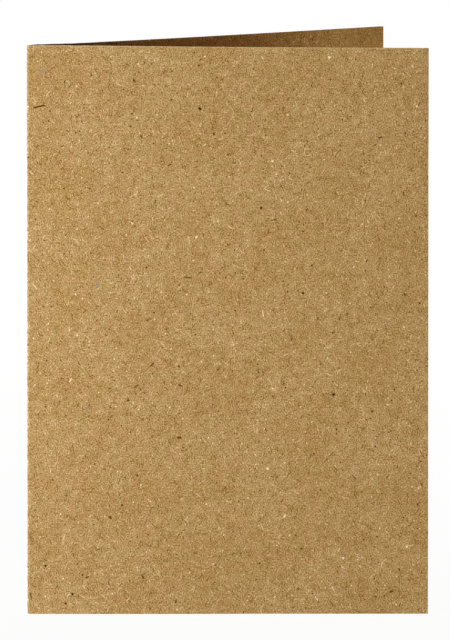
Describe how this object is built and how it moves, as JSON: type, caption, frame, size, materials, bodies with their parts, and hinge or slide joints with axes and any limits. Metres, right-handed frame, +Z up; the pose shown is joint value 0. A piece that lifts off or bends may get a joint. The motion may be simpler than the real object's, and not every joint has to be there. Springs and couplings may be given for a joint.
{
  "type": "greeting card",
  "caption": "Blank greeting card of one kraft board sheet, folded down its left side and standing a little open on its lower edges.",
  "frame": {"origin": "foot of the fold, in the middle of the board's thickness, on the surface that the card stands on", "axes": "+Z up along the fold; +X along the flat front leaf, from the fold to its free edge; +Y towards the rear leaf, so the front leaf faces -Y"},
  "size_m": [0.105, 0.0482, 0.15],
  "materials": {
    "kraft_board": "matt uncoated recycled kraft board, mottled brown with visible fibres and dark flecks"
  },
  "bodies": {
    "root": {"folded_card": "kraft_board"}
  },
  "joints": []
}
